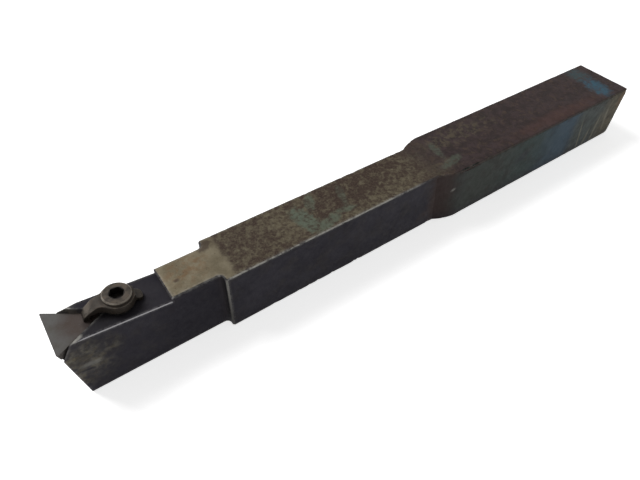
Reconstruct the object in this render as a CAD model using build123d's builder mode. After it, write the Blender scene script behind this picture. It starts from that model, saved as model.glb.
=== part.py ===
from build123d import *
import os
from math import atan, cos, degrees, radians, sin, sqrt, tan

# Turning tool holder: a forged steel shank whose slim head carries a triangular insert on a
# seat, held down by a finger clamp. Millimetres, +Z up, the cutting edge at the -X end.
# The origin lies under the middle of the whole length, on the face that the shank rests on.

# Shank, from the wide rear stock forward to the head
overall_length = 333.0
shank_height = 32.0
shank_width = 25.5
stock_width = 34.2
stock_length = 138.0
swell_length = 16.0
neck_width = 17.6
neck_length = 21.2
shoulder_radius = 2.2
edge_break = 0.5
stock_corner_radius = 1.4
corner_break = 0.7

# Head: its deck is raked up towards the cutting edge
head_length = 43.0
rake_angle = 6.0
edge_height = 32.2
front_clearance = 6.4
front_setback = 1.9
deck_break = 0.3

# Bevels ground on the two horns of the deck, either side of the pocket
far_bevel_back = 14.0
far_bevel_turn = 12.5
far_bevel_slope = 42.0
near_bevel_back = 10.2
near_bevel_turn = 67.0
near_bevel_slope = 5.5

# Triangular insert, its cutting edge square across the front
insert_side = 22.0
insert_thickness = 4.76
insert_relief = 11.0
insert_nose_radius = 0.4
insert_offset = 0.8
insert_recess = 2.0

# Seat plate under the insert, and the countersunk screw that keeps it
seat_thickness = 3.18
seat_inset = 0.3
seat_nose_radius = 0.3
seat_screw_radius = 2.0
seat_screw_head_radius = 3.6
seat_screw_cone = 90.0
seat_screw_length = 8.0
seat_screw_socket = 2.5
seat_screw_socket_depth = 1.6
seat_screw_sink = 0.15
seat_hole_clearance = 0.25

# V-shaped pocket for the insert and its seat
pocket_far_gap = 0.05
pocket_near_gap = 0.9
pocket_draft = 13.0
pocket_root_radius = 1.3

# Clamp screw
screw_setback = 25.8
screw_radius = 3.0
screw_length = 19.0
screw_head_radius = 5.5
screw_head_height = 1.5
screw_head_bevel = 0.5
screw_tip_bevel = 0.8
screw_collar_radius = 3.9
screw_socket = 5.0
screw_socket_depth = 3.2
thread_clearance = 0.05
screw_hole_spare = 4.0

# Finger clamp
clamp_swing = -5.5
clamp_eye_radius = 6.3
clamp_eye_height = 3.4
clamp_lift_gap = 1.0
clamp_hole_clearance = 0.3
finger_reach = 13.4
finger_tip_width = 4.6
finger_root_width = 7.4
finger_blend = 4.5
finger_clearance = 0.3
nose_length = 2.7
nose_height = 2.1
nose_corner = 1.2
nose_lean = 0.1
toe_length = 2.6
toe_gap = 0.35
arch_length = 2.6
heel_reach = 9.1
heel_width = 5.0
heel_length = 2.0
heel_height = 2.7
heel_end_height = 1.35
heel_corner = 1.8

# Coil spring that lifts the clamp when its screw is slackened
spring_wire_radius = 0.45
spring_coil_radius = 4.3
spring_turns = 4
spring_well_depth = 5.0
spring_well_clearance = 0.35
spring_seat_gap = 0.05

# Places worked out from the sizes above
front_x = -overall_length / 2
rear_x = overall_length / 2
step_x = front_x + head_length
shoulder_x = step_x + neck_length
swell_x = rear_x - stock_length - swell_length
rake = radians(rake_angle)
edge_x = front_x + insert_recess * sin(rake)
edge_z = edge_height + insert_recess * cos(rake)
insert_inradius = insert_side / (2 * sqrt(3))
seat_level = -insert_recess - insert_thickness
floor_level = seat_level - seat_thickness
eye_top = clamp_lift_gap + clamp_eye_height

# The deck is the head's raked top face. Its x runs back from the cutting edge, its y runs
# across from the middle of the insert, and its z stands up from the face.
deck = Plane(
    origin=(edge_x, insert_offset, edge_z),
    x_dir=(cos(rake), 0, -sin(rake)),
    z_dir=(sin(rake), 0, cos(rake)),
)
screw_plane = Plane(
    origin=deck.from_local_coords((screw_setback, 0, 0)),
    x_dir=deck.x_dir,
    z_dir=deck.z_dir,
)
swing = radians(clamp_swing)
clamp_plane = Plane(
    origin=screw_plane.origin,
    x_dir=deck.x_dir * cos(swing) + deck.y_dir * sin(swing),
    z_dir=deck.z_dir,
)
clamp_side = Plane(
    origin=clamp_plane.origin,
    x_dir=clamp_plane.x_dir,
    z_dir=-clamp_plane.y_dir,
)


def head_point(back, up):
    """X and Z of a point of the head: back from the edge along the deck, and up from it."""
    return (
        edge_x + back * cos(rake) + up * sin(rake),
        edge_z - back * sin(rake) + up * cos(rake),
    )


def lean(level, angle):
    """How far a wall or flank has moved in, from the insert's top down to a deck level."""
    return (-insert_recess - level) * tan(radians(angle))


def plate_corners(level, inset):
    """Corners of the triangle inside the insert's flanks, at a level of the deck frame."""
    inradius = insert_inradius - lean(level, insert_relief) - inset
    front = insert_inradius - inradius
    half_side = inradius * sqrt(3)
    return [(front, half_side), (front, -half_side), (front + 3 * inradius, 0)]


def pocket_corners(level, far_gap, near_gap, near_draft):
    """Corners of the V between the pocket's two walls, at a level of the deck frame."""
    far_wall = insert_inradius + far_gap - lean(level, insert_relief)
    near_wall = insert_inradius + near_gap - lean(level, near_draft)
    root_back = insert_inradius + far_wall + near_wall
    root_across = (far_wall - near_wall) / sqrt(3)
    mouth = root_back - insert_side * sqrt(3)
    return [
        (root_back, root_across),
        (mouth, root_across + insert_side),
        (mouth, root_across - insert_side),
    ]


def half_outline():
    """One side of the shank's plan, from the head's front to the rear end."""
    rise = (stock_width - shank_width) / 2
    bend = 2 * atan(rise / swell_length)
    Polyline(
        (front_x, 0),
        (front_x, neck_width / 2),
        (shoulder_x, neck_width / 2),
        (shoulder_x, shank_width / 2),
        (swell_x, shank_width / 2),
    )
    swell = JernArc(
        start=(swell_x, shank_width / 2),
        tangent=(cos(bend), sin(bend)),
        radius=swell_length / sin(bend),
        arc_size=-degrees(bend),
    )
    Polyline(swell @ 1, (rear_x, stock_width / 2), (rear_x, 0))


def bevel_plane(back, across, turn, slope):
    """Plane hinged on a line of the deck, turned from the forward direction and sloped off it."""
    along = deck.x_dir * -cos(radians(turn)) + deck.y_dir * sin(radians(turn))
    inward = deck.z_dir.cross(along)
    return Plane(
        origin=deck.from_local_coords((back, across, 0)),
        x_dir=along,
        z_dir=deck.z_dir * cos(radians(slope)) - inward * sin(radians(slope)),
    )


def at_shoulder(outline, half_width):
    """The two corners of a plan outline at the shoulder, at a half width either side."""
    return [
        outline.vertices().sort_by_distance((shoulder_x, across, 0))[0]
        for across in (half_width, -half_width)
    ]


# ---------------------------------------------------------------- holder body
with BuildPart() as holder_body:
    with BuildSketch() as plan:
        with BuildLine():
            half_outline()
            mirror(about=Plane.XZ)
        make_face()
        fillet(at_shoulder(plan, neck_width / 2), shoulder_radius)
        chamfer(at_shoulder(plan, shank_width / 2), corner_break)
        chamfer(plan.vertices().group_by(Axis.X)[-1], corner_break)
    extrude(amount=shank_height + edge_height)

    # Side view: the level shank, the step down to the deck, and the front leaning back
    front_top = head_point(front_setback, floor_level)
    front_foot = front_top[0] + front_top[1] * tan(radians(front_clearance))
    step_back = (step_x - edge_x) / cos(rake)
    with BuildSketch(Plane.XZ):
        Polygon(
            (front_foot, 0),
            (rear_x, 0),
            (rear_x, shank_height),
            (step_x, shank_height),
            head_point(step_back, 0),
            head_point(0, 0),
            front_top,
            align=None,
        )
    extrude(amount=stock_width, both=True, mode=Mode.INTERSECT)
    for level in (0, shank_height):
        chamfer(holder_body.edges().filter_by_position(Axis.Z, level, level), edge_break)
    chamfer(holder_body.edges().filter_by(Axis(deck.origin, deck.x_dir)), deck_break)

    # Rounded corners of the rolled stock, which run out along the swell
    with BuildSketch(Plane.YZ.offset(rear_x)):
        with Locations((0, shank_height / 2)):
            Rectangle(stock_width, shank_height)
            RectangleRounded(stock_width, shank_height, stock_corner_radius, mode=Mode.SUBTRACT)
    extrude(amount=-stock_length - swell_length, mode=Mode.SUBTRACT)

    # Horns of the deck, each ground off at a shallow bevel
    across_far = neck_width / 2 - insert_offset
    across_near = -neck_width / 2 - insert_offset
    with BuildSketch(bevel_plane(far_bevel_back, across_far, -far_bevel_turn, far_bevel_slope)):
        Rectangle(insert_side, insert_side, align=(Align.CENTER, Align.MAX))
    extrude(amount=insert_recess, mode=Mode.SUBTRACT)
    with BuildSketch(bevel_plane(near_bevel_back, across_near, near_bevel_turn, -near_bevel_slope)):
        Rectangle(insert_side, neck_width, align=(Align.CENTER, Align.MIN))
    extrude(amount=insert_recess, mode=Mode.SUBTRACT)

    # Pocket: two walls that lean in down to a flat floor, and a drilled relief at their root
    for_top = pocket_corners(insert_recess, pocket_far_gap, pocket_near_gap, pocket_draft)
    for_floor = pocket_corners(floor_level, pocket_far_gap, pocket_near_gap, pocket_draft)
    with BuildSketch(deck.offset(insert_recess)):
        Polygon(*for_top, align=None)
    with BuildSketch(deck.offset(floor_level)):
        Polygon(*for_floor, align=None)
    loft(mode=Mode.SUBTRACT)
    with BuildSketch(deck.offset(floor_level)):
        with Locations(for_floor[0]):
            Circle(pocket_root_radius)
    extrude(amount=insert_recess - floor_level, mode=Mode.SUBTRACT)

    # Tapped holes for the seat screw and the clamp screw, and the well for the spring
    with BuildSketch(deck.offset(floor_level)):
        with Locations((insert_inradius, 0)):
            Circle(seat_screw_radius + thread_clearance)
    extrude(amount=-seat_screw_length, mode=Mode.SUBTRACT)
    with BuildSketch(screw_plane):
        Circle(screw_radius + thread_clearance)
    extrude(amount=eye_top - screw_length - screw_hole_spare, mode=Mode.SUBTRACT)
    with BuildSketch(screw_plane):
        Circle(spring_coil_radius + spring_wire_radius + spring_well_clearance)
    extrude(amount=-spring_well_depth, mode=Mode.SUBTRACT)
holder_body.part.label = "holder_body"

# ---------------------------------------------------------------- seat and its screw
seat_screw_plane = Plane(
    origin=deck.from_local_coords((insert_inradius, 0, seat_level)),
    x_dir=deck.x_dir,
    z_dir=deck.z_dir,
)

with BuildPart() as seat:
    for level in (seat_level, floor_level):
        with BuildSketch(deck.offset(level)) as seat_outline:
            Polygon(*plate_corners(level, seat_inset), align=None)
            fillet(seat_outline.vertices(), seat_nose_radius)
    loft()
    with Locations(seat_screw_plane):
        CounterSinkHole(
            radius=seat_screw_radius + seat_hole_clearance,
            counter_sink_radius=seat_screw_head_radius + seat_hole_clearance,
            counter_sink_angle=seat_screw_cone,
        )
seat.part.label = "seat"

with BuildPart() as seat_screw:
    with BuildSketch(seat_screw_plane.offset(-seat_screw_sink)):
        Circle(seat_screw_head_radius)
    extrude(amount=seat_screw_radius - seat_screw_head_radius, taper=seat_screw_cone / 2)
    with BuildSketch(seat_screw_plane.offset(-seat_screw_sink)):
        Circle(seat_screw_radius)
    extrude(amount=-seat_screw_length)
    with BuildSketch(seat_screw_plane.offset(-seat_screw_sink)):
        RegularPolygon(seat_screw_socket / 2, 6, major_radius=False)
    extrude(amount=-seat_screw_socket_depth, mode=Mode.SUBTRACT)
seat_screw.part.label = "seat_screw"

# ---------------------------------------------------------------- insert
with BuildPart() as insert:
    for level in (-insert_recess, seat_level):
        with BuildSketch(deck.offset(level)) as insert_outline:
            Polygon(*plate_corners(level, 0), align=None)
            fillet(insert_outline.vertices(), insert_nose_radius)
    loft()
insert.part.label = "insert"

# ---------------------------------------------------------------- clamp screw and spring
with BuildPart() as clamp_screw:
    with BuildSketch(screw_plane.offset(eye_top)):
        Circle(screw_head_radius)
    extrude(amount=screw_head_height)
    rim = clamp_screw.edges().sort_by(Axis(screw_plane.origin, screw_plane.z_dir))[-1]
    chamfer(rim, screw_head_bevel)
    with BuildSketch(screw_plane.offset(eye_top)):
        Circle(screw_collar_radius)
    extrude(amount=-clamp_eye_height)
    with BuildSketch(screw_plane.offset(eye_top)):
        Circle(screw_radius)
    extrude(amount=-screw_length)
    tip = clamp_screw.edges().sort_by(Axis(screw_plane.origin, screw_plane.z_dir))[0]
    chamfer(tip, screw_tip_bevel)
    with BuildSketch(screw_plane.offset(eye_top + screw_head_height)):
        RegularPolygon(screw_socket / 2, 6, major_radius=False)
    extrude(amount=-screw_socket_depth, mode=Mode.SUBTRACT)
clamp_screw.part.label = "clamp_screw"

spring_foot = spring_wire_radius + spring_seat_gap - spring_well_depth
spring_rise = clamp_lift_gap - spring_wire_radius - spring_seat_gap - spring_foot

with BuildPart() as clamp_spring:
    with BuildLine():
        coil = Helix(
            pitch=spring_rise / spring_turns,
            height=spring_rise,
            radius=spring_coil_radius,
            center=screw_plane.offset(spring_foot).origin,
            direction=screw_plane.z_dir,
        )
    with BuildSketch(Plane(origin=coil @ 0, z_dir=coil % 0)):
        Circle(spring_wire_radius)
    sweep()
clamp_spring.part.label = "clamp_spring"

# ---------------------------------------------------------------- finger clamp
# The toe is ground to the pocket's V, so that it reaches the insert between the two walls.
with BuildPart() as toe:
    with BuildSketch(deck.offset(-insert_recess)):
        Polygon(*pocket_corners(-insert_recess, -toe_gap, -toe_gap, insert_relief), align=None)
    extrude(amount=insert_recess + clamp_lift_gap)
    with BuildSketch(clamp_plane.offset(-insert_recess)):
        with Locations((toe_length / 2 - finger_reach, 0)):
            Rectangle(toe_length, finger_tip_width)
    extrude(amount=insert_recess + clamp_lift_gap, mode=Mode.INTERSECT)

with BuildPart() as clamp:
    with BuildSketch(clamp_plane.offset(finger_clearance)) as clamp_outline:
        Circle(clamp_eye_radius)
        Polygon(
            (0, finger_root_width / 2),
            (-finger_reach, finger_tip_width / 2),
            (-finger_reach, -finger_tip_width / 2),
            (0, -finger_root_width / 2),
            align=None,
        )
        fillet(clamp_outline.vertices().group_by(Axis.X)[0], nose_corner)
        eye_corners = clamp_outline.vertices().filter_by_position(Axis.X, -clamp_eye_radius, 0)
        fillet(eye_corners, finger_blend)
    extrude(amount=eye_top - finger_clearance)
    with BuildSketch(clamp_plane) as heel_outline:
        with Locations((heel_reach / 2, 0)):
            Rectangle(heel_reach, heel_width)
        fillet(heel_outline.vertices().group_by(Axis.X)[-1], heel_corner)
    extrude(amount=eye_top)
    add(toe.part)

    # Side view: the curved nose, the finger and eye arched over the deck, and the heel
    with BuildSketch(clamp_side):
        with BuildLine():
            Spline(
                (-clamp_eye_radius, eye_top),
                (nose_length - finger_reach, nose_height),
                (-finger_reach, -insert_recess),
                tangents=((-1, -nose_lean), (-nose_lean, -1)),
            )
            Polyline(
                (-finger_reach, -insert_recess),
                (toe_length - finger_reach, -insert_recess),
                (toe_length - finger_reach, finger_clearance),
                (toe_length + arch_length - finger_reach, clamp_lift_gap),
                (heel_reach - heel_length, clamp_lift_gap),
                (heel_reach - heel_length, 0),
                (heel_reach, 0),
                (heel_reach, heel_end_height),
                (clamp_eye_radius, heel_height),
                (clamp_eye_radius, eye_top),
                (-clamp_eye_radius, eye_top),
            )
        make_face()
    extrude(amount=finger_reach, both=True, mode=Mode.INTERSECT)
    with BuildSketch(clamp_plane):
        Circle(screw_collar_radius + clamp_hole_clearance)
    extrude(amount=eye_top, mode=Mode.SUBTRACT)
clamp.part.label = "clamp"

# ---------------------------------------------------------------- one STEP file per piece
os.makedirs("parts", exist_ok=True)
export_step(holder_body.part, "parts/holder_body.step")
export_step(seat.part, "parts/seat.step")
export_step(seat_screw.part, "parts/seat_screw.step")
export_step(insert.part, "parts/insert.step")
export_step(clamp_screw.part, "parts/clamp_screw.step")
export_step(clamp_spring.part, "parts/clamp_spring.step")
export_step(clamp.part, "parts/clamp.step")
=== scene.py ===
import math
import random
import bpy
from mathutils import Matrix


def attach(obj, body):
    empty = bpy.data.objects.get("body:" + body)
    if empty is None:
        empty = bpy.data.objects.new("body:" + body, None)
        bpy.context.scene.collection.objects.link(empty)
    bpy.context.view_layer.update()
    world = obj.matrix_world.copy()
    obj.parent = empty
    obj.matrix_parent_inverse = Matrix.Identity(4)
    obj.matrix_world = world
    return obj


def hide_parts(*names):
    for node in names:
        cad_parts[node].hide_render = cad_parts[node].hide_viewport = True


bl_info = {
    "name": "Turning Tool Holder",
    "version": (1, 0, 0),
    "blender": (4, 5, 0),
    "location": "3D View > Sidebar > Tool Holder",
    "description": "Finishes a turning tool holder with its clamped insert, and sets its stage",
    "category": "Object",
}

import bmesh
import bpy
from bpy.props import FloatProperty, FloatVectorProperty, IntProperty, PointerProperty
from mathutils import Vector, kdtree, noise

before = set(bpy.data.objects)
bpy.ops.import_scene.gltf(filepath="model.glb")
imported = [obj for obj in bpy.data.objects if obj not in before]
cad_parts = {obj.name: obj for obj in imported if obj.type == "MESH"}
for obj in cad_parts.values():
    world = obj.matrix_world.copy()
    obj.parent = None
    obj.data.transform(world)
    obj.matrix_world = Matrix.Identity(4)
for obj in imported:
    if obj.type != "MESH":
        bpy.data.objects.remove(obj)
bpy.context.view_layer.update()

MM = 0.001

# Places along the holder, in millimetres from the middle of its length
FRONT = -166.5
STEP = -123.5
SHOULDER = -102.3
SWELL = 12.5
SWELL_END = 28.5
REAR = 166.5
DECK_TOP = 32.0

# The clamp screw's axis: a point on it, how far it leans back for each millimetre of rise, and
# how far from it the walls of its socket reach
SCREW_PLACE = (-140.632, 0.8, 31.492)
SCREW_LEAN = 0.1051
SOCKET_REACH = 2.93

# Knocks that are always there, in millimetres: place, reach and depth
SET_KNOCKS = (
    ((23.0, -15.4, 20.6), 2.2, 0.35),
    ((-91.8, -12.75, 18.3), 1.8, 0.15),
    ((14.5, -13.2, 32.0), 2.2, 0.5),
    ((19.5, -14.6, 32.0), 1.6, 0.35),
    ((24.5, -16.0, 32.0), 2.6, 0.6),
    ((29.5, -17.0, 32.0), 1.8, 0.45),
    ((35.5, -17.1, 32.0), 2.8, 0.5),
    ((46.0, -17.1, 32.0), 2.0, 0.35),
    ((150.0, -17.1, 32.0), 2.4, 0.4),
)

# A face this wide on average is a flat, and one that turns this much from it is another face
FLAT_WIDTH = 0.6 * MM
FLAT_TURN = math.radians(0.5)

# Points closer than this are one point, and faces that turn less than this are one face
WELD = 1e-7
MERGE_TURN = 0.0005

# Half the width and all the height of the grid over the holder, in millimetres
GRID_SIDE = 18.0
GRID_TOP = 35.0

# Edges sharper than this are rims. They are rubbed over this distance.
RIM_ANGLE = math.radians(25)
WEAR_REACH = 1.8 * MM

# Random knocks, in millimetres: how far behind the shoulder and how far aside they start, how
# far each reaches, and its share of the deepest before squaring
KNOCKS_BEHIND = 4
KNOCKS_ASIDE = 12
KNOCK_REACH = (0.7, 2.4)
KNOCK_SHARE = (0.15, 1.0)

# Where the skin changes along the holder, in millimetres: mill scale sets in, the milled sides
# begin behind the shoulder, and the slant of the swell has died away
SCALE_START = (2, 30)
MILLED_START = 6
SLANT_END = 46

# Lumps of the uneven skin: size in millimetres and weight
COARSE_LUMP = (9, 0.35)
FINE_LUMP = (3.1, 0.3)

# Rounding of the clamp's forged corners, and the angle from which its edges stay sharp
CLAMP_SOFTNESS = 0.5
CLAMP_ROUNDS = 6
CLAMP_SHARP = 60.0

FLOOR_GAP = 0.05 * MM
NEAREST_SEEN = 0.01

# The lamps, aimed at the part's middle: name, the setting with their watts, width and place
LAMPS = (
    ("key_lamp", "key_power", 0.5, (-0.45, 0.65, 0.95)),
    ("side_lamp", "side_power", 0.8, (-0.7, -0.8, 0.5)),
)


# ------------------------------------------------------------------ settings
def linear(level):
    """One display level from 0 to 255 as a linear colour value."""
    value = level / 255
    return value / 12.92 if value <= 0.04045 else ((value + 0.055) / 1.055) ** 2.4


def colour(name, description, red, green, blue):
    """A colour property whose default is given as display levels."""
    return FloatVectorProperty(
        name=name,
        description=description,
        subtype="COLOR",
        size=3,
        min=0.0,
        max=1.0,
        default=(linear(red), linear(green), linear(blue)),
    )


def share(name, description, value):
    """A property from nought to one."""
    return FloatProperty(
        name=name, description=description, subtype="FACTOR", min=0.0, max=1.0, default=value
    )


def length(name, description, value):
    """A length property, kept in metres and given here in millimetres."""
    return FloatProperty(
        name=name, description=description, unit="LENGTH", min=0.0, precision=5, default=value * MM
    )


class HolderSettings(bpy.types.PropertyGroup):
    """Shape and colours of the forged holder body"""

    grid_step: length("Grid step", "Spacing of the points over the body's faces", 1.2)
    swell_slant: length("Swell slant", "How much further back the swell starts at the base", 4.0)
    scale_relief: length("Scale relief", "Depth of the unevenness under the mill scale", 0.16)
    milled_relief: length("Milled relief", "Depth of the unevenness of the milled sides", 0.04)
    dent_depth: length("Dent depth", "Depth of the deepest knocks on the edges", 0.45)
    dent_count: IntProperty(name="Dents", description="Knocks along the edges", default=90, min=0)
    seed: IntProperty(name="Seed", description="Start of the random knocks", default=7, min=0)
    bump: share("Bump", "Strength of the fine pitting", 0.6)
    oxide: colour("Oxide", "Blue-black oxide on the deck of the head", 31, 29, 36)
    oxide_worn: colour("Worn oxide", "Oxide rubbed thin", 41, 39, 44)
    # Painted shadow: near-black laid on the deck round and under the clamp, and painted shade on
    # faces turned forward behind the neck
    painted_shadow: colour("Oil", "Oily dirt on the deck round the clamp", 16, 14, 17)
    charcoal: colour("Charcoal", "Dark steel on the sides", 49, 47, 54)
    charcoal_deep: colour("Deep charcoal", "Darkest steel on the sides", 39, 37, 44)
    ground: colour("Ground steel", "Bare ground steel by the shoulder", 112, 104, 87)
    ground_dull: colour("Dull ground steel", "Ground steel gone olive", 90, 82, 66)
    olive: colour("Olive steel", "Tarnished steel between the rust", 103, 96, 79)
    rust: colour("Rust", "Dark brown rust", 51, 40, 35)
    rust_dull: colour("Dull rust", "Thin brown rust on the sides", 62, 50, 46)
    rust_light: colour("Light rust", "Dry rust between the dark", 78, 66, 57)
    rust_warm: colour("Warm rust", "Orange brown rust", 100, 76, 52)
    rust_red: colour("Red rust", "Red brown rust along the stock's near edge", 84, 58, 52)
    scale: colour("Mill scale", "Red-brown mill scale on the stock", 61, 50, 50)
    scale_dark: colour("Dark scale", "Darkest mill scale", 46, 38, 37)
    green_grey: colour("Green grey", "Tint of the stock's side behind the swell", 58, 62, 58)
    teal: colour("Teal", "Tint of the stock's side half-way along", 56, 67, 65)
    blue: colour("Blue", "Temper blue on the stock's side", 66, 82, 94)
    end_grey: colour("End grey", "Rubbed grey near the stock's end", 76, 82, 80)
    worn_edge: colour("Worn edge", "Bare steel along the rubbed edges", 146, 144, 138)
    bright_edge: colour("Bright edge", "Bare steel along the edges of the head", 160, 158, 160)
    scratch: colour("Scratch", "Shallow scratches near the stock's end", 132, 128, 114)
    scuff: colour("Scuff", "Dull bare steel where the head is rubbed", 112, 108, 98)
    paint_green: colour("Green paint", "Worn marking paint on the middle length", 90, 99, 86)
    paint_blue: colour("Blue paint", "Worn marking paint at the rear end", 60, 92, 108)
    paint_faded: colour("Faded paint", "The same paint where it has gone dull", 66, 86, 90)


class CuttingSettings(bpy.types.PropertyGroup):
    """Colours of the insert and its seat"""

    carbide: colour("Carbide", "Sintered carbide on the insert's top", 70, 66, 66)
    carbide_dark: colour("Dark carbide", "Stains on the insert", 62, 55, 51)
    honed: colour("Honed edge", "Bare carbide at the cutting edges", 98, 100, 96)
    stain: colour("Stain", "Brown stain under the clamp", 66, 54, 46)
    # A dark brown patch on the insert by the pocket wall
    dark_corner: colour("Soot", "Dirt packed in the corner of the pocket", 34, 26, 25)
    seat: colour("Seat", "Carbide of the seat", 50, 48, 47)


class ClampSettings(bpy.types.PropertyGroup):
    """Shape and colours of the clamp, its screw and its spring"""

    voxel: length("Skin step", "Fineness of the clamp's forged skin", 0.2)
    bump: share("Bump", "Strength of the fine pitting", 0.5)
    steel: colour("Clamp steel", "Oxidised steel of the clamp", 77, 71, 64)
    finger: colour("Finger steel", "Darker steel of the finger clamp", 68, 63, 57)
    steel_dark: colour("Dark steel", "Oily steel in the hollows", 52, 47, 42)
    rust: colour("Clamp rust", "Rust on the clamp and its screw", 88, 66, 48)
    worn: colour("Worn steel", "Rubbed rims", 126, 119, 109)
    # Near-black: darkens inside the screw's socket, and as dirt and painted shade the finger's
    # root and tip and the heel
    dirt: colour("Packed dirt", "Dirt packed in hollows and in the screw's socket", 12, 10, 9)
    # Painted shade colour for the sides and undersides of the clamp, its screws and its spring
    painted_side_shade: colour("Grime", "Oil and dirt on the clamp's sides", 44, 38, 33)
    wire: colour("Wire", "Spring wire", 96, 94, 92)


class StageSettings(bpy.types.PropertyGroup):
    """Floor, lights and camera"""

    floor_size: FloatProperty(
        name="Floor size", description="Width of the floor", unit="LENGTH", default=8.0, min=1.0
    )
    floor_colour: colour("Floor colour", "Pale floor", 245, 245, 245)
    floor_lift: share("Floor lift", "White added where the camera sees the floor", 0.66)
    shadow_reach: length("Shadow reach", "How far out the floor keeps the part's shadow", 300)
    sky_level: FloatProperty(
        name="Sky level", description="Strength of the even light all round", default=0.24, min=0.0
    )
    key_power: FloatProperty(
        name="Key power", description="Watts of the large overhead lamp", default=11.0, min=0.0
    )
    side_power: FloatProperty(
        name="Side power", description="Watts of the lamp on the near side", default=0.9, min=0.0
    )
    camera_place: FloatVectorProperty(
        name="Camera place",
        description="Where the camera stands",
        unit="LENGTH",
        size=3,
        precision=5,
        default=(-0.148707, -0.133780, 0.193072),
    )
    camera_turn: FloatVectorProperty(
        name="Camera turn",
        description="How the camera is turned",
        subtype="EULER",
        unit="ROTATION",
        size=3,
        default=tuple(math.radians(angle) for angle in (42.6394, -1.7252, -35.2278)),
    )
    camera_lens: FloatProperty(
        name="Lens", description="Focal length in millimetres", default=29.08, min=1.0
    )


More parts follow.
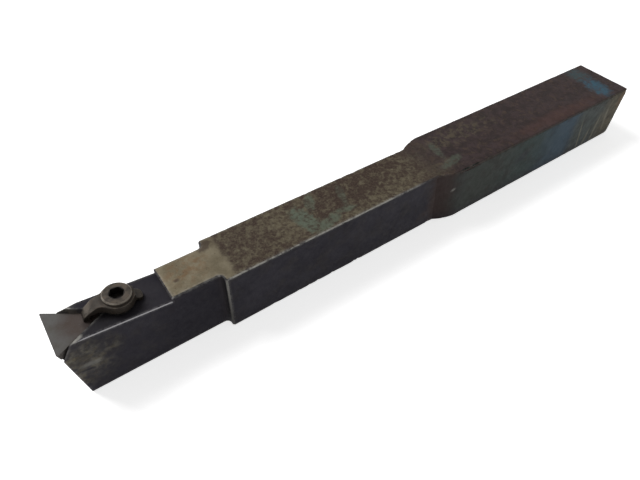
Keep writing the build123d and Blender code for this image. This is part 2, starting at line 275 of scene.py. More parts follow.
# ------------------------------------------------------------------ materials
class Finish:
    """A material being made. Its places are in the part's own millimetres."""

    def __init__(self, name, gloss):
        """Starts a plain material with its places and face directions at hand."""
        self.material = bpy.data.materials.new(name)
        self.material.use_nodes = True
        self.tree = self.material.node_tree
        self.tree.nodes.clear()
        self.surface = self.tree.nodes.new("ShaderNodeBsdfPrincipled")
        self.surface.inputs["Specular IOR Level"].default_value = gloss
        output = self.tree.nodes.new("ShaderNodeOutputMaterial")
        self.tree.links.new(self.surface.outputs["BSDF"], output.inputs["Surface"])
        source = self.tree.nodes.new("ShaderNodeTexCoord")
        scaled = self.tree.nodes.new("ShaderNodeVectorMath")
        scaled.operation = "SCALE"
        scaled.inputs["Scale"].default_value = 1 / MM
        self.tree.links.new(source.outputs["Object"], scaled.inputs[0])
        self.place = scaled.outputs["Vector"]
        self.x, self.y, self.z = self.parts(self.place)
        self.face_x, self.face_y, self.face_z = self.parts(source.outputs["Normal"])
        self.plan = self.join(self.x, self.y)
        self.flank = self.join(self.x, self.z)

    def feed(self, socket, value):
        """Links a socket to another, or sets its value."""
        if isinstance(value, bpy.types.NodeSocket):
            self.tree.links.new(value, socket)
        elif hasattr(value, "__len__") and len(value) == 3 and len(socket.default_value) == 4:
            socket.default_value = (*value, 1.0)
        else:
            socket.default_value = value

    def parts(self, vector):
        """The three parts of a vector."""
        node = self.tree.nodes.new("ShaderNodeSeparateXYZ")
        self.feed(node.inputs[0], vector)
        return node.outputs

    def join(self, first, second):
        """A flat place made of two parts."""
        node = self.tree.nodes.new("ShaderNodeCombineXYZ")
        self.feed(node.inputs[0], first)
        self.feed(node.inputs[1], second)
        return node.outputs[0]

    def math(self, operation, *values):
        """The result of a sum on sockets or numbers."""
        node = self.tree.nodes.new("ShaderNodeMath")
        node.operation = operation
        for socket, value in zip(node.inputs, values):
            self.feed(socket, value)
        return node.outputs[0]

    def both(self, *masks):
        """The product of masks."""
        result = masks[0]
        for mask in masks[1:]:
            result = self.math("MULTIPLY", result, mask)
        return result

    def either(self, first, second):
        """The larger of two masks."""
        return self.math("MAXIMUM", first, second)

    def ramp(self, value, low, high):
        """A soft step from 0 at low to 1 at high; low may be the larger."""
        node = self.tree.nodes.new("ShaderNodeMapRange")
        node.interpolation_type = "SMOOTHSTEP"
        self.feed(node.inputs["Value"], value)
        node.inputs["From Min"].default_value = low
        node.inputs["From Max"].default_value = high
        return node.outputs["Result"]

    def level(self, value, low, high):
        """A mask stretched to run from one level to another."""
        node = self.tree.nodes.new("ShaderNodeMapRange")
        self.feed(node.inputs["Value"], value)
        node.inputs["To Min"].default_value = low
        node.inputs["To Max"].default_value = high
        return node.outputs["Result"]

    def spread(self, size, stretch, shift):
        """The place counted in lumps of a size, stretched and shifted."""
        node = self.tree.nodes.new("ShaderNodeVectorMath")
        node.operation = "MULTIPLY_ADD"
        self.feed(node.inputs[0], self.place)
        node.inputs[1].default_value = [part / size for part in stretch]
        node.inputs[2].default_value = (shift, shift, shift)
        return node.outputs["Vector"]

    def noise(self, size, detail=4.0, rough=0.55, stretch=(1, 1, 1), shift=0.0, twist=0.0):
        """Cloudy noise around one half. Size is that of its larger lumps, in millimetres."""
        node = self.tree.nodes.new("ShaderNodeTexNoise")
        self.feed(node.inputs["Vector"], self.spread(size, stretch, shift))
        node.inputs["Scale"].default_value = 1.0
        node.inputs["Detail"].default_value = detail
        node.inputs["Roughness"].default_value = rough
        node.inputs["Distortion"].default_value = twist
        return node.outputs[0]

    def cells(self, size, shift=0.0):
        """Distance to scattered points, for pits."""
        node = self.tree.nodes.new("ShaderNodeTexVoronoi")
        self.feed(node.inputs["Vector"], self.spread(size, (1, 1, 1), shift))
        node.inputs["Scale"].default_value = 1.0
        return node.outputs["Distance"]

    def mix(self, mask, under, over):
        """One colour laid over another where the mask is 1."""
        node = self.tree.nodes.new("ShaderNodeMix")
        node.data_type = "RGBA"
        sockets = [socket for socket in node.inputs if socket.type == "RGBA"]
        self.feed(node.inputs[0], mask)
        self.feed(sockets[0], under)
        self.feed(sockets[1], over)
        return next(socket for socket in node.outputs if socket.type == "RGBA")

    def patch(self, face, middle, reach, turn=0.0, ragged=0.0, soft=0.3, grain=2.0, shift=0.0):
        """A ragged oval mask on a face. Middle and reach are in that face's millimetres."""
        node = self.tree.nodes.new("ShaderNodeMapping")
        node.vector_type = "TEXTURE"
        self.feed(node.inputs["Vector"], face)
        node.inputs["Location"].default_value = (*middle, 0)
        node.inputs["Rotation"].default_value = (0, 0, math.radians(turn))
        node.inputs["Scale"].default_value = (*reach, 1)
        size = self.tree.nodes.new("ShaderNodeVectorMath")
        size.operation = "LENGTH"
        self.feed(size.inputs[0], node.outputs[0])
        away = size.outputs["Value"]
        if ragged:
            rough = self.math("SUBTRACT", self.noise(grain, shift=shift), 0.5)
            away = self.math("MULTIPLY_ADD", rough, ragged, away)
        return self.ramp(away, 1.0 + soft / 2, 1.0 - soft / 2)

    def attribute(self, name):
        """A value kept on the mesh's points."""
        node = self.tree.nodes.new("ShaderNodeAttribute")
        node.attribute_name = name
        return node.outputs["Fac"]

    def relief(self, height, depth, strength):
        """Bump from a height between 0 and 1 that stands for a depth in millimetres."""
        node = self.tree.nodes.new("ShaderNodeBump")
        node.inputs["Strength"].default_value = strength
        node.inputs["Distance"].default_value = depth * MM
        self.feed(node.inputs["Height"], height)
        self.feed(self.surface.inputs["Normal"], node.outputs[0])

    def finish(self, base, roughness, metallic):
        """Sets the surface and gives back the material."""
        self.feed(self.surface.inputs["Base Color"], base)
        self.feed(self.surface.inputs["Roughness"], roughness)
        self.feed(self.surface.inputs["Metallic"], metallic)
        return self.material


def forged_steel(settings):
    """The holder's skin: oxide on the head, ground steel, rust, mill scale and temper colours."""
    skin = Finish("forged_steel_worn", 0.1)
    up = skin.ramp(skin.face_z, 0.8, 0.93)
    near = skin.ramp(skin.face_y, -0.75, -0.9)
    rim = skin.both(skin.ramp(skin.face_z, 0.3, 0.5), skin.ramp(skin.face_z, 0.93, 0.8))
    wear = skin.attribute("wear")
    drift = skin.noise(9, detail=3, shift=3.1)
    drift = skin.math("SUBTRACT", drift, 0.5)
    along = skin.math("MULTIPLY_ADD", drift, 16, skin.x)
    close = skin.math("MULTIPLY_ADD", drift, 7, skin.x)
    grain = skin.noise(0.7, detail=5, rough=0.7, shift=11.3)
    fine = skin.noise(1.5, detail=5, rough=0.65, shift=14.9)
    blotch = skin.noise(2.8, detail=5, rough=0.6, shift=21.9, twist=0.3)
    lump = skin.noise(7, detail=4, rough=0.6, shift=27.2)
    cloud = skin.noise(16, detail=4, shift=5.7)
    speck = skin.noise(1.9, detail=4, rough=0.6, shift=33.3)

    # Top of the head and of the neck
    deck = skin.mix(skin.ramp(cloud, 0.35, 0.65), settings.oxide, settings.oxide_worn)
    deck = skin.mix(skin.level(skin.ramp(skin.y, 2, -9), 0, 0.45), deck, settings.oxide_worn)
    # Painted shadow of the clamp on the deck, darkest under the finger
    painted_shadow = skin.patch(skin.plan, (-145, -3.2), (13, 4.6), 0, ragged=0.6, soft=1.0, grain=4)
    deeper_shadow = skin.patch(skin.plan, (-147.0, -2.9), (9.5, 2.7), -17, ragged=0.5, soft=0.9, grain=3)
    deck = skin.mix(skin.either(skin.both(painted_shadow, 0.75), skin.both(deeper_shadow, 0.95)), deck, settings.painted_shadow)
    neck = skin.mix(skin.ramp(lump, 0.35, 0.65), settings.ground, settings.ground_dull)
    neck = skin.mix(skin.level(skin.ramp(grain, 0.35, 0.7), 0, 0.5), neck, settings.olive)
    stain = skin.patch(skin.plan, (-112.5, 1.5), (9, 6), 10, ragged=1.6, soft=1.2, grain=4)
    stain = skin.both(stain, skin.ramp(blotch, 0.38, 0.62))
    neck = skin.mix(skin.both(stain, 0.55), neck, settings.rust_warm)
    spots = skin.patch(skin.plan, (-101.5, 8.8), (3.6, 2.6), 30, ragged=1.4, soft=0.8)
    spots = skin.either(spots, skin.ramp(speck, 0.64, 0.74))
    spot = skin.patch(skin.plan, (-118.4, -1.8), (1.1, 0.8), 20, ragged=0.9, soft=1.2)
    spots = skin.either(spots, spot)
    neck = skin.mix(skin.both(spots, 0.7), neck, settings.rust)

    # Top of the middle length and of the stock
    olive = skin.mix(skin.ramp(fine, 0.35, 0.65), settings.olive, settings.ground_dull)
    rusted = skin.mix(skin.ramp(grain, 0.35, 0.7), settings.rust, settings.rust_light)
    thick = skin.math("MULTIPLY_ADD", skin.math("SUBTRACT", fine, 0.5), 0.6, blotch)
    thick = skin.math("MULTIPLY_ADD", skin.math("SUBTRACT", lump, 0.5), 0.35, thick)
    heavy = skin.patch(skin.plan, (-30, 3), (24, 9), 8, ragged=1.4, soft=1.4, grain=9)
    thick = skin.math("ADD", thick, skin.level(heavy, 0.0, 0.1))
    light = skin.patch(skin.plan, (-14, -9), (26, 4), 0, ragged=1.2, soft=1.2, grain=6)
    light = skin.either(light, skin.patch(skin.plan, (-66, 1), (7, 12), 20, ragged=1.0, soft=1.4))
    thick = skin.math("ADD", thick, skin.level(light, 0.0, -0.1))
    middle = skin.mix(skin.ramp(thick, 0.24, 0.68), olive, rusted)
    middle = skin.mix(skin.both(skin.ramp(speck, 0.5, 0.7), 0.7), middle, settings.rust)
    crust = skin.noise(4.5, detail=6, rough=0.72, shift=41.0, twist=0.6)
    stock = skin.mix(skin.ramp(crust, 0.4, 0.6), settings.scale_dark, settings.scale)
    stock = skin.mix(skin.both(skin.ramp(blotch, 0.52, 0.66), 0.55), stock, settings.rust_light)
    pale = skin.patch(skin.plan, (46, 7), (22, 6), 0, ragged=1.8, soft=1.2, grain=6)
    pale_edge = skin.patch(skin.plan, (4, -8), (26, 4), 0, ragged=1.6, soft=1.0, grain=5)
    pale = skin.either(pale, pale_edge)
    pale = skin.both(pale, skin.ramp(blotch, 0.42, 0.6))
    stock = skin.mix(skin.both(pale, 0.32), stock, settings.olive)
    warm = skin.patch(skin.plan, (108, -12), (34, 4), 0, ragged=1.6, soft=1.4, grain=6)
    stock = skin.mix(skin.both(warm, 0.35), stock, settings.rust_red)
    top = skin.mix(skin.ramp(skin.x, STEP + 0.1, STEP - 0.1), neck, deck)
    top = skin.mix(skin.ramp(close, -99, -95.5), top, middle)
    top = skin.mix(skin.ramp(along, -4, 30), top, stock)

    # Worn marking paint, brushed on in dabs
    thin = skin.level(skin.ramp(thick, 0.66, 0.4), 0.25, 1.0)
    green = 0.0
    for place, reach, turn, weight in (
        ((-57.5, -2.5), (4.2, 9.2), 12, 1.0),
        ((-49.5, -8.6), (7.5, 2.9), 14, 0.9),
        ((-50, 5.6), (6.0, 2.4), 60, 0.7),
        ((-38.5, -6.2), (5.0, 1.8), -12, 0.75),
        ((-34.5, 2.5), (7.0, 1.9), 70, 0.8),
        ((26, 3), (6.5, 2.2), 82, 0.55),
        ((27, -7.8), (8.0, 2.4), 12, 0.55),
    ):
        dab = skin.patch(
            skin.plan, place, reach, turn, ragged=1.5, soft=0.7, grain=2.2, shift=place[0]
        )
        dab = skin.both(dab, weight)
        green = skin.either(green, dab) if green else dab
    top = skin.mix(skin.both(green, thin, 0.85), top, settings.paint_green)
    blue = skin.both(
        skin.patch(skin.plan, (153.5, 8.5), (6.0, 9), 0, ragged=1.6, soft=0.9, shift=6.1), 0.7
    )
    bright = skin.patch(skin.plan, (151.5, -6), (5.8, 9), -14, ragged=1.3, soft=0.8, shift=7.3)
    brushed = skin.level(skin.ramp(crust, 0.62, 0.42), 0.35, 1.0)
    blue = skin.both(skin.either(blue, bright), brushed)
    faded = skin.mix(skin.ramp(skin.y, 1, 7), settings.paint_blue, settings.paint_faded)
    top = skin.mix(skin.both(blue, 0.85), top, faded)

    # Sides
    side = skin.mix(skin.ramp(cloud, 0.35, 0.65), settings.charcoal_deep, settings.charcoal)
    side = skin.mix(skin.level(skin.ramp(lump, 0.45, 0.75), 0, 0.1), side, settings.olive)
    brown = skin.both(skin.ramp(along, 6, 14), skin.ramp(along, 34, 20))
    inner_corner = skin.both(skin.ramp(skin.x, -107, -102.5), skin.ramp(skin.x, -102.2, -102.5))
    side = skin.mix(skin.both(brown, 0.8), side, settings.rust_dull)
    side = skin.mix(skin.both(inner_corner, 0.4), side, settings.rust)
    # Painted shade: the temper colours are cut to 0.4 on the far side, where the key lamp falls,
    # so that side stays darker charcoal
    tint_dimmed_where_lit = skin.level(skin.ramp(skin.face_y, 0.75, 0.9), 1.0, 0.4)
    side = skin.mix(skin.both(skin.ramp(along, 16, 34), tint_dimmed_where_lit), side, settings.green_grey)
    side = skin.mix(skin.both(skin.ramp(along, 48, 84), tint_dimmed_where_lit), side, settings.teal)
    side = skin.mix(skin.both(skin.ramp(along, 80, 110), tint_dimmed_where_lit), side, settings.blue)
    end = skin.mix(skin.ramp(along, 140, 158), settings.end_grey, settings.olive)
    end = skin.mix(skin.level(skin.ramp(blotch, 0.4, 0.66), 0, 0.6), end, settings.green_grey)
    side = skin.mix(skin.both(skin.ramp(close, 118, 125), tint_dimmed_where_lit), side, end)
    flecks = skin.both(skin.ramp(skin.x, 10, 30), skin.ramp(lump, 0.46, 0.7), 0.4)
    side = skin.mix(flecks, side, settings.scale_dark)
    smudge = skin.patch(skin.flank, (76, 19.5), (6, 3), 20, ragged=1.4, soft=1.2, grain=3)
    side = skin.mix(skin.both(smudge, near, 0.5), side, settings.charcoal_deep)
    shade = skin.patch(skin.flank, (-115, 17), (15, 20), 0, ragged=0.8, soft=1.2, grain=8)
    side = skin.mix(skin.both(shade, 0.8), side, settings.oxide)
    # Painted shade: faces turned forward behind the neck, such as the shoulder, darkened with the
    # painted shadow colour
    forward_face_shade = skin.both(skin.ramp(skin.face_x, -0.5, -0.8), skin.ramp(skin.x, STEP, STEP + 5))
    side = skin.mix(skin.both(forward_face_shade, 0.75), side, settings.painted_shadow)
    low = skin.level(skin.ramp(skin.z, 9, 1), 0, 0.45)
    side = skin.mix(low, side, settings.charcoal_deep)
    scuff = skin.patch(skin.flank, (-163, 21), (13, 13), 30, ragged=0.9, soft=1.3, grain=7)
    worn_through = skin.level(skin.ramp(lump, 0.38, 0.6), 0.25, 1.0)
    ragged = skin.level(skin.ramp(blotch, 0.62, 0.38), 0.35, 1.0)
    rubbing = skin.mix(skin.ramp(speck, 0.4, 0.62), settings.scuff, settings.olive)
    side = skin.mix(skin.both(scuff, near, worn_through, ragged), side, rubbing)
    glint = skin.patch(skin.flank, (-157.8, 17.9), (3.4, 1.2), -8, ragged=1.6, soft=1.2)
    side = skin.mix(skin.both(glint, near, 0.5), side, settings.worn_edge)
    gouge = skin.patch(skin.flank, (-160.4, 15.4), (2.8, 0.7), -10, ragged=0.6, soft=0.8)
    side = skin.mix(skin.both(gouge, near, 0.8), side, settings.charcoal_deep)
    nick = skin.patch(skin.flank, (23, 20.6), (1.3, 0.9), 30, ragged=1.4, soft=1.0, grain=1)
    side = skin.mix(skin.both(nick, near, 0.6), side, settings.worn_edge)
    streaks = 0.0
    for place, reach, turn in (
        ((131, 12), (12, 0.7), 106),
        ((147, 10), (9.5, 1.2), 92),
        ((155, 14), (9.5, 1.1), 105),
        ((140, 7), (6, 1.1), 86),
    ):
        streak = skin.patch(skin.flank, place, reach, turn, ragged=0.7, soft=0.8, grain=1.2)
        streaks = skin.either(streaks, streak) if streaks else streak
    side = skin.mix(skin.both(streaks, near, 0.6), side, settings.scratch)
    rear_corner = skin.patch(skin.flank, (165, 27), (4.5, 7), 0, ragged=1.2, soft=1.0)
    side = skin.mix(skin.both(rear_corner, 0.6), side, settings.rust_warm)

    # Underside, and all of it together
    under = skin.mix(skin.ramp(thick, 0.4, 0.6), settings.scale_dark, settings.rust)
    under = skin.mix(skin.both(skin.ramp(cloud, 0.5, 0.62), 0.5), under, settings.ground_dull)
    base = skin.mix(up, side, top)
    base = skin.mix(skin.ramp(skin.face_z, -0.6, -0.8), base, under)

    # Dirty rims of the stock and of the step
    dirty_rim = skin.both(rim, skin.ramp(skin.y, 0, -10), skin.ramp(along, 4, 24))
    base = skin.mix(skin.both(dirty_rim, 0.85), base, settings.rust)
    step_rim = skin.both(skin.ramp(skin.face_x, -0.3, -0.5), skin.ramp(skin.x, STEP - 2, STEP))
    base = skin.mix(skin.both(rim, step_rim, 0.6), base, settings.oxide_worn)

    # Rubbed edges, and bare steel on the shoulder fillets, partly wear and partly painted
    # highlight
    head = skin.ramp(skin.x, STEP + 1, STEP)
    kept = skin.level(skin.ramp(along, -14, 14), 1.0, 0.15)
    broken = skin.level(skin.ramp(blotch, 0.68, 0.44), 0.35, 1.0)
    outer = skin.ramp(skin.y, -7.4, -8.4)
    pocket = skin.either(outer, skin.ramp(skin.y, 3, 5))
    rubbed = skin.both(rim, skin.either(broken, skin.both(head, outer)), kept)
    rubbed = skin.both(rubbed, skin.either(pocket, skin.ramp(skin.x, STEP, STEP + 2)))
    neck_side = skin.both(
        skin.ramp(skin.x, STEP, STEP + 2), skin.ramp(skin.x, SHOULDER, SHOULDER - 2)
    )
    rubbed = skin.both(rubbed, skin.level(neck_side, 1.0, 0.45), skin.level(step_rim, 1.0, 0.15))
    # Bare steel on the shoulder fillets, stronger towards the top: partly wear, partly painted
    # highlight
    fillet_wear_and_highlight = skin.both(
        skin.ramp(skin.math("ABSOLUTE", skin.face_x), 0.45, 0.6),
        skin.ramp(skin.math("ABSOLUTE", skin.face_y), 0.45, 0.6),
        skin.ramp(skin.x, SHOULDER + 2, SHOULDER + 1),
        skin.ramp(skin.x, SHOULDER - 0.4, SHOULDER - 0.1),
        skin.level(skin.ramp(skin.z, 30, 4), 0.65, 0.3),
    )
    haze = skin.both(skin.ramp(wear, 0.3, 1.0), skin.ramp(fine, 0.66, 0.42), kept, 0.25)
    # Bare steel from rubbing and haze, with the painted highlight on the shoulder fillets
    bare = skin.either(skin.either(rubbed, fillet_wear_and_highlight), haze)
    horn = skin.patch(skin.plan, (-159.0, -7.6), (2.6, 1.0), 20, ragged=0.6, soft=0.7)
    edge = skin.mix(skin.both(head, outer), settings.worn_edge, settings.bright_edge)
    base = skin.mix(skin.both(bare, 0.85), base, edge)
    base = skin.mix(skin.both(horn, up, 0.75), base, settings.worn_edge)
    # Painted highlight: a bright line along the far pocket wall's top edge and on the far horn, in
    # bare steel colour
    far_horn_highlight = skin.patch(skin.plan, (-157.5, 7.2), (1.5, 0.8), -39.5, ragged=0.6, soft=0.6)
    far_edge_highlight = skin.patch(skin.plan, (-155.6, 5.5), (3.6, 0.45), -39.5, ragged=0.8, soft=1.0)
    far_edge_highlight = skin.either(far_horn_highlight, skin.both(far_edge_highlight, 0.55))
    base = skin.mix(skin.both(far_edge_highlight, up, 0.8), base, settings.worn_edge)

    # Sheen and fine relief
    ground_face = skin.both(up, skin.ramp(along, -96, -99), skin.ramp(skin.x, STEP, STEP + 0.2))
    metal = skin.either(skin.both(bare, 0.8), skin.both(ground_face, 0.4))
    rough = skin.level(thick, 0.45, 0.85)
    rough = skin.math("SUBTRACT", rough, skin.both(skin.either(bare, ground_face), 0.15))
    pits = skin.ramp(skin.cells(1.6, shift=2.0), 0.05, 0.4)
    height = skin.math("MULTIPLY_ADD", fine, 0.7, skin.both(pits, 0.3))
    skin.relief(height, 0.12, settings.bump)
    return skin.finish(base, rough, metal)


def sintered_carbide(name, settings, body):
    """Matt grey carbide, stained by the clamp, with a dark patch by the pocket wall, and lighter
    at its free corners.
    """
    skin = Finish(name, 0.12)
    cloud = skin.noise(5, detail=5, shift=1.4)
    fine = skin.noise(0.5, detail=4, rough=0.7, shift=9.1)
    speck = skin.noise(1.4, detail=4, rough=0.65, shift=17.3)
    base = skin.mix(skin.ramp(cloud, 0.4, 0.68), body, settings.carbide_dark)
    stain = skin.patch(skin.plan, (-154.5, 0.5), (7.5, 7.5), 0, ragged=0.9, soft=1.2, grain=4)
    base = skin.mix(skin.level(stain, 0.35, 0), base, settings.honed)
    base = skin.mix(skin.both(stain, 0.55), base, settings.stain)
    # A dark brown patch on the insert by the pocket wall
    dark_corner = skin.patch(skin.plan, (-152.8, -1.8), (2.4, 2.6), 40, ragged=0.7, soft=1.0)
    base = skin.mix(skin.both(dark_corner, 0.7), base, settings.dark_corner)
    base = skin.mix(skin.both(skin.ramp(speck, 0.56, 0.72), 0.4), base, settings.carbide_dark)
    base = skin.mix(skin.both(skin.ramp(fine, 0.55, 0.75), 0.3), base, settings.honed)
    # The flanks, faces turned away from up, are darkened with the dark carbide colour
    flank = skin.ramp(skin.face_z, 0.5, 0.1)
    base = skin.mix(skin.both(flank, 0.6), base, settings.carbide_dark)
    skin.relief(fine, 0.02, 0.5)
    return skin.finish(base, skin.level(cloud, 0.45, 0.65), 0.2)


def oxidised_steel(name, settings, body, rub, inside=None):
    """Handled steel with a little rust, its sides and undersides darkened as painted shade.

    Rub is how bright its rims are. Inside makes the mask of what is darkened to near black.
    """
    skin = Finish(name, 0.15)
    cloud = skin.noise(3.2, detail=5, rough=0.6, shift=4.4)
    fine = skin.noise(0.45, detail=4, rough=0.65, shift=7.7)
    base = skin.mix(skin.ramp(cloud, 0.42, 0.66), body, settings.steel_dark)
    rust = skin.both(skin.ramp(cloud, 0.55, 0.42), skin.ramp(fine, 0.45, 0.62), 0.4)
    base = skin.mix(rust, base, settings.rust)
    # Painted shade: faces turned away from up, the sides and undersides, are darkened
    low = skin.level(skin.ramp(skin.face_z, 0.75, 0.2), 0.0, 0.75)
    base = skin.mix(low, base, settings.painted_side_shade)
    rim = skin.both(skin.ramp(skin.face_z, 0.5, 0.6), skin.ramp(skin.face_z, 0.88, 0.8))
    rim = skin.both(rim, skin.level(skin.ramp(cloud, 0.62, 0.45), 0.4, 1.0), rub)
    base = skin.mix(rim, base, settings.worn)
    if inside:
        base = skin.mix(skin.both(inside(skin), 0.92), base, settings.dirt)
    skin.relief(fine, 0.05, settings.bump)
    return skin.finish(base, skin.level(cloud, 0.45, 0.7), 0.3)


def socket_mask(skin):
    """A mask of what lies inside the clamp screw's socket."""
    lean = skin.math("MULTIPLY", skin.math("SUBTRACT", skin.z, SCREW_PLACE[2]), SCREW_LEAN)
    across = skin.math("SUBTRACT", skin.math("SUBTRACT", skin.x, SCREW_PLACE[0]), lean)
    aside = skin.math("SUBTRACT", skin.y, SCREW_PLACE[1])
    squares = skin.math("ADD", skin.both(across, across), skin.both(aside, aside))
    away = skin.math("SQRT", squares)
    return skin.ramp(away, SOCKET_REACH + 0.05, SOCKET_REACH - 0.05)


def clamp_dirt_and_shade_mask(skin):
    """A mask of the clamp's darkened parts, partly dirt and partly painted shade: the finger's
    root and tip, and the heel.
    """
    root = skin.patch(skin.plan, (-147.4, 1.0), (2.6, 2.6), 0, ragged=1.0, soft=1.2)
    tip = skin.ramp(skin.x, -151.5, -154.0)
    heel = skin.ramp(skin.x, -134.8, -134.0)
    return skin.both(skin.either(root, skin.either(tip, heel)), 0.6)


def pale_floor(settings):
    """Pale matt floor that the camera sees as white away from the part's shadow."""
    material = bpy.data.materials.new("pale_floor")
    material.use_nodes = True
    tree = material.node_tree
    tree.nodes.clear()
    matt = tree.nodes.new("ShaderNodeBsdfDiffuse")
    matt.inputs["Color"].default_value = (*settings.floor_colour, 1.0)
    glow = tree.nodes.new("ShaderNodeEmission")
    glow.inputs["Color"].default_value = (1.0, 1.0, 1.0, 1.0)
    place = tree.nodes.new("ShaderNodeTexCoord")
    away = tree.nodes.new("ShaderNodeVectorMath")
    away.operation = "LENGTH"
    tree.links.new(place.outputs["Object"], away.inputs[0])
    lift = tree.nodes.new("ShaderNodeMapRange")
    lift.inputs["From Min"].default_value = settings.shadow_reach
    lift.inputs["From Max"].default_value = 2 * settings.shadow_reach
    lift.inputs["To Min"].default_value = settings.floor_lift
    lift.inputs["To Max"].default_value = 1.0
    tree.links.new(away.outputs["Value"], lift.inputs["Value"])
    shine = tree.nodes.new("ShaderNodeMath")
    shine.operation = "MULTIPLY"
    tree.links.new(seen_by_eye(tree), shine.inputs[0])
    tree.links.new(lift.outputs["Result"], shine.inputs[1])
    tree.links.new(shine.outputs[0], glow.inputs["Strength"])
    total = tree.nodes.new("ShaderNodeAddShader")
    tree.links.new(matt.outputs[0], total.inputs[0])
    tree.links.new(glow.outputs[0], total.inputs[1])
    output = tree.nodes.new("ShaderNodeOutputMaterial")
    tree.links.new(total.outputs[0], output.inputs["Surface"])
    return material


def seen_by_eye(tree):
    """A mask of what the camera sees, straight or in a mirror or through glass."""
    path = tree.nodes.new("ShaderNodeLightPath")
    mask = path.outputs["Is Camera Ray"]
    for name in ("Is Glossy Ray", "Is Transmission Ray"):
        larger = tree.nodes.new("ShaderNodeMath")
        larger.operation = "MAXIMUM"
        tree.links.new(mask, larger.inputs[0])
        tree.links.new(path.outputs[name], larger.inputs[1])
        mask = larger.outputs[0]
    return mask


# ------------------------------------------------------------------ shapes
def split_grid(mesh, faces, axis, low, high, step):
    """Cuts faces by evenly spaced planes across one axis, halving the stretch each time."""
    count = round((high - low) / step)
    if count < 2 or not faces:
        return faces
    middle = low + step * (count // 2)
    place = Vector()
    place[axis] = middle
    across = Vector()
    across[axis] = 1.0
    edges = list({edge for face in faces for edge in face.edges})
    points = list({point for face in faces for point in face.verts})
    cut = bmesh.ops.bisect_plane(
        mesh, geom=points + edges + faces, dist=WELD, plane_co=place, plane_no=across
    )
    near, far = [], []
    for item in cut["geom"]:
        if isinstance(item, bmesh.types.BMFace):
            (near if item.calc_center_median()[axis] < middle else far).append(item)
    return split_grid(mesh, near, axis, low, middle, step) + split_grid(
        mesh, far, axis, middle, high, step
    )


def copy_of_node(name):
    """An editable copy of a node's mesh with its doubled points welded."""
    mesh = bmesh.new()
    mesh.from_mesh(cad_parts[name].data)
    bmesh.ops.remove_doubles(mesh, verts=mesh.verts, dist=WELD)
    return mesh


def sharp_points(mesh, angle):
    """The points of a mesh that lie on outward edges sharper than an angle."""
    return {
        point
        for edge in mesh.edges
        if len(edge.link_faces) == 2 and edge.is_convex and edge.calc_face_angle() > angle
        for point in edge.verts
    }


def tree_of(points):
    """A search tree over points."""
    tree = kdtree.KDTree(len(points))
    for index, point in enumerate(points):
        tree.insert(point, index)
    tree.balance()
    return tree


def mark_wear(mesh, angle, reach):
    """Gives each point a wear value: 1 on a sharp outward edge, fading to 0 over a reach."""
    layer = mesh.verts.layers.float.new("wear")
    tree = tree_of([point.co for point in sharp_points(mesh, angle)])
    for point in mesh.verts:
        away = tree.find(point.co)[2]
        point[layer] = max(0.0, 1.0 - away / reach)


def smooth_step(value, low, high):
    """A soft step from 0 at low to 1 at high."""
    part = min(max((value - low) / (high - low), 0.0), 1.0)
    return part * part * (3 - 2 * part)


def lumps(place):
    """How far the uneven skin sinks in at a place, from 0 to 1."""
    depth = 0.5
    for size, weight in (COARSE_LUMP, FINE_LUMP):
        depth += weight * noise.noise(place / (size * MM))
    return min(max(depth, 0.0), 1.0)


def outline_flats(mesh):
    """Marks the edges round each broad flat face, so that it can be shaded flat to its borders."""
    layer = mesh.edges.layers.int.new("border")
    flats = {
        face for face in mesh.faces if 2 * face.calc_area() / face.calc_perimeter() > FLAT_WIDTH
    }
    for edge in mesh.edges:
        faces = edge.link_faces
        if len(faces) == 2 and edge.calc_face_angle() > FLAT_TURN:
            edge[layer] = int(any(face in flats for face in faces))
    return layer


def add_piece(name, mesh, material, sharp=30.0, borders=None):
    """Makes an object from a bmesh, smooth but for its sharp edges and any marked borders."""
    turn = math.radians(sharp)
    for face in mesh.faces:
        face.smooth = True
    for edge in mesh.edges:
        bend = edge.calc_face_angle() if len(edge.link_faces) == 2 else 0.0
        edge.smooth = bend < turn and not (borders and edge[borders])
    data = bpy.data.meshes.new(name)
    mesh.to_mesh(data)
    mesh.free()
    data.materials.append(material)
    piece = bpy.data.objects.new(name, data)
    bpy.context.scene.collection.objects.link(piece)
    return piece


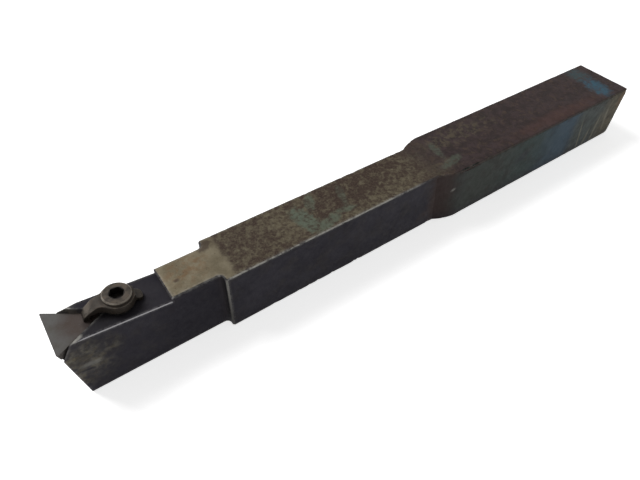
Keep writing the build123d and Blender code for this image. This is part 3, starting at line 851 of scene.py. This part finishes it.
def worn_holder_mesh(settings):
    """The holder's faces on a fine grid, with a slanted swell, uneven skin and knocked edges."""
    mesh = copy_of_node("holder_body")
    bmesh.ops.dissolve_limit(mesh, angle_limit=MERGE_TURN, verts=mesh.verts, edges=mesh.edges)
    borders = outline_flats(mesh)
    faces = list(mesh.faces)
    step = settings.grid_step
    faces = split_grid(mesh, faces, 2, 0.0, GRID_TOP * MM, step)
    faces = split_grid(mesh, faces, 1, -GRID_SIDE * MM, GRID_SIDE * MM, step)
    split_grid(mesh, faces, 0, FRONT * MM, REAR * MM, step)
    bmesh.ops.triangulate(mesh, faces=mesh.faces)
    mesh.normal_update()
    mark_wear(mesh, RIM_ANGLE, WEAR_REACH)

    draw = random.Random(settings.seed)
    rims = [
        point.co.copy()
        for point in sorted(sharp_points(mesh, RIM_ANGLE), key=lambda point: point.index)
        if point.co.x > (SHOULDER + KNOCKS_BEHIND) * MM and abs(point.co.y) > KNOCKS_ASIDE * MM
    ]
    knocks = []
    for _ in range(settings.dent_count):
        centre = draw.choice(rims)
        reach = draw.uniform(*KNOCK_REACH) * MM
        depth = settings.dent_depth * draw.uniform(*KNOCK_SHARE) ** 2
        knocks.append((centre, reach, depth))
    for place, reach, depth in SET_KNOCKS:
        knocks.append((Vector(place) * MM, reach * MM, depth * MM))

    points = list(mesh.verts)
    tree = tree_of([point.co for point in points])
    moves = {}
    for centre, reach, depth in knocks:
        for _, index, away in tree.find_range(centre, reach):
            sink = depth * (1 - (away / reach) ** 2) ** 2
            moves[index] = max(moves.get(index, 0.0), sink)
    for index, point in enumerate(points):
        along = point.co.x / MM
        scaly = smooth_step(along, *SCALE_START)
        milled = smooth_step(along, SHOULDER, SHOULDER + MILLED_START)
        relief = settings.milled_relief * milled * (1 - scaly) + settings.scale_relief * scaly
        sink = relief * lumps(point.co) + moves.get(index, 0.0)
        point.co -= point.normal * sink
        span = smooth_step(along, 0, SWELL) * (1 - smooth_step(along, SWELL_END, SLANT_END))
        point.co.x += settings.swell_slant * (1 - point.co.z / (DECK_TOP * MM)) * span
    return mesh, borders


def soft_skin(name, settings):
    """A node's shape with the softened corners of a forging."""
    rough = bpy.data.meshes.new(name + "_rough")
    mesh = copy_of_node(name)
    mesh.to_mesh(rough)
    mesh.free()
    block = bpy.data.objects.new(name + "_rough", rough)
    bpy.context.scene.collection.objects.link(block)
    remesh = block.modifiers.new("remesh", "REMESH")
    remesh.mode = "VOXEL"
    remesh.voxel_size = settings.voxel
    smooth = block.modifiers.new("smooth", "SMOOTH")
    smooth.factor = CLAMP_SOFTNESS
    smooth.iterations = CLAMP_ROUNDS
    shaped = block.evaluated_get(bpy.context.evaluated_depsgraph_get())
    mesh = bmesh.new()
    mesh.from_mesh(shaped.to_mesh())
    shaped.to_mesh_clear()
    bpy.data.objects.remove(block)
    bpy.data.meshes.remove(rough)
    return mesh


def dress(node, material):
    """Gives a node that keeps its shape a better material."""
    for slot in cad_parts[node].material_slots:
        slot.material = material


# ------------------------------------------------------------------ operators
class HOLDER_OT_body(bpy.types.Operator):
    """Build the worn skin of the forged holder body"""

    bl_idname = "tool_holder.body"
    bl_label = "Holder body"

    def execute(self, context):
        settings = context.scene.tool_holder_body
        mesh, borders = worn_holder_mesh(settings)
        piece = add_piece("holder_skin", mesh, forged_steel(settings), borders=borders)
        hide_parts("holder_body")
        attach(piece, "holder")
        return {"FINISHED"}


class HOLDER_OT_cutting(bpy.types.Operator):
    """Finish the insert and its seat"""

    bl_idname = "tool_holder.cutting"
    bl_label = "Insert and seat"

    def execute(self, context):
        settings = context.scene.tool_holder_cutting
        dress("insert", sintered_carbide("insert_carbide_matt", settings, settings.carbide))
        dress("seat", sintered_carbide("seat_carbide_dull", settings, settings.seat))
        return {"FINISHED"}


class HOLDER_OT_clamp(bpy.types.Operator):
    """Build the forged skin of the finger clamp"""

    bl_idname = "tool_holder.clamp"
    bl_label = "Finger clamp"

    def execute(self, context):
        settings = context.scene.tool_holder_clamp
        mesh = soft_skin("clamp", settings)
        material = oxidised_steel(
            "clamp_steel_dull", settings, settings.finger, rub=0.35, inside=clamp_dirt_and_shade_mask
        )
        piece = add_piece("clamp_skin", mesh, material, sharp=CLAMP_SHARP)
        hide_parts("clamp")
        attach(piece, "clamp")
        return {"FINISHED"}


class HOLDER_OT_screws(bpy.types.Operator):
    """Finish the clamp screw, the seat screw and the spring"""

    bl_idname = "tool_holder.screws"
    bl_label = "Screws and spring"

    def execute(self, context):
        settings = context.scene.tool_holder_clamp
        for node, name, body, rub, inside in (
            ("clamp_screw", "clamp_screw_steel", settings.steel, 0.9, socket_mask),
            ("seat_screw", "seat_screw_steel", settings.steel, 0.6, None),
            ("clamp_spring", "spring_wire", settings.wire, 0.3, None),
        ):
            dress(node, oxidised_steel(name, settings, body, rub, inside))
        return {"FINISHED"}


class HOLDER_OT_stage(bpy.types.Operator):
    """Set the floor, the soft lights and the camera"""

    bl_idname = "tool_holder.stage"
    bl_label = "Stage"

    def execute(self, context):
        settings = context.scene.tool_holder_stage
        scene = context.scene
        scene.view_settings.view_transform = "Standard"

        floor_mesh = bmesh.new()
        bmesh.ops.create_grid(floor_mesh, x_segments=1, y_segments=1, size=settings.floor_size / 2)
        floor = add_piece("floor", floor_mesh, pale_floor(settings))
        floor.location.z = -FLOOR_GAP

        world = bpy.data.worlds.new("even_light")
        scene.world = world
        world.use_nodes = True
        tree = world.node_tree
        sky = next(node for node in tree.nodes if node.type == "BACKGROUND")
        sky.inputs["Color"].default_value = (1.0, 1.0, 1.0, 1.0)
        strength = tree.nodes.new("ShaderNodeMapRange")
        strength.inputs["To Min"].default_value = settings.sky_level
        strength.inputs["To Max"].default_value = 1.0
        tree.links.new(seen_by_eye(tree), strength.inputs["Value"])
        tree.links.new(strength.outputs["Result"], sky.inputs["Strength"])

        for name, power, size, place in LAMPS:
            lamp = bpy.data.lights.new(name, "AREA")
            lamp.energy = getattr(settings, power)
            lamp.size = size
            holder = bpy.data.objects.new(name, lamp)
            holder.location = place
            holder.rotation_euler = (-Vector(place)).to_track_quat("-Z", "Y").to_euler()
            scene.collection.objects.link(holder)

        camera = bpy.data.cameras.new("camera")
        camera.lens = settings.camera_lens
        camera.clip_start = NEAREST_SEEN
        stand = bpy.data.objects.new("camera", camera)
        stand.location = settings.camera_place
        stand.rotation_euler = settings.camera_turn
        scene.collection.objects.link(stand)
        scene.camera = stand
        return {"FINISHED"}


class HOLDER_PT_panel(bpy.types.Panel):
    """Builds the tool holder piece by piece"""

    bl_idname = "HOLDER_PT_panel"
    bl_label = "Tool Holder"
    bl_space_type = "VIEW_3D"
    bl_region_type = "UI"
    bl_category = "Tool Holder"

    def draw(self, context):
        for operator in OPERATORS:
            self.layout.operator(operator.bl_idname)
        for name, group in GROUPS.items():
            box = self.layout.box()
            box.label(text=group.__doc__)
            for key in group.__annotations__:
                box.prop(getattr(context.scene, name), key)


GROUPS = {
    "tool_holder_body": HolderSettings,
    "tool_holder_cutting": CuttingSettings,
    "tool_holder_clamp": ClampSettings,
    "tool_holder_stage": StageSettings,
}
OPERATORS = (
    HOLDER_OT_body,
    HOLDER_OT_cutting,
    HOLDER_OT_clamp,
    HOLDER_OT_screws,
    HOLDER_OT_stage,
)


def register():
    """Adds the settings, the operators and the panel."""
    for group in GROUPS.values():
        bpy.utils.register_class(group)
    for name, group in GROUPS.items():
        setattr(bpy.types.Scene, name, PointerProperty(type=group))
    for item in (*OPERATORS, HOLDER_PT_panel):
        bpy.utils.register_class(item)


def unregister():
    """Takes away what register added."""
    for item in (HOLDER_PT_panel, *reversed(OPERATORS)):
        bpy.utils.unregister_class(item)
    for name in GROUPS:
        delattr(bpy.types.Scene, name)
    for group in reversed(GROUPS.values()):
        bpy.utils.unregister_class(group)


def main():
    """Registers the add-on and builds every piece."""
    register()
    bpy.ops.tool_holder.body()
    bpy.ops.tool_holder.cutting()
    bpy.ops.tool_holder.clamp()
    bpy.ops.tool_holder.screws()
    bpy.ops.tool_holder.stage()


if __name__ == "__main__":
    main()
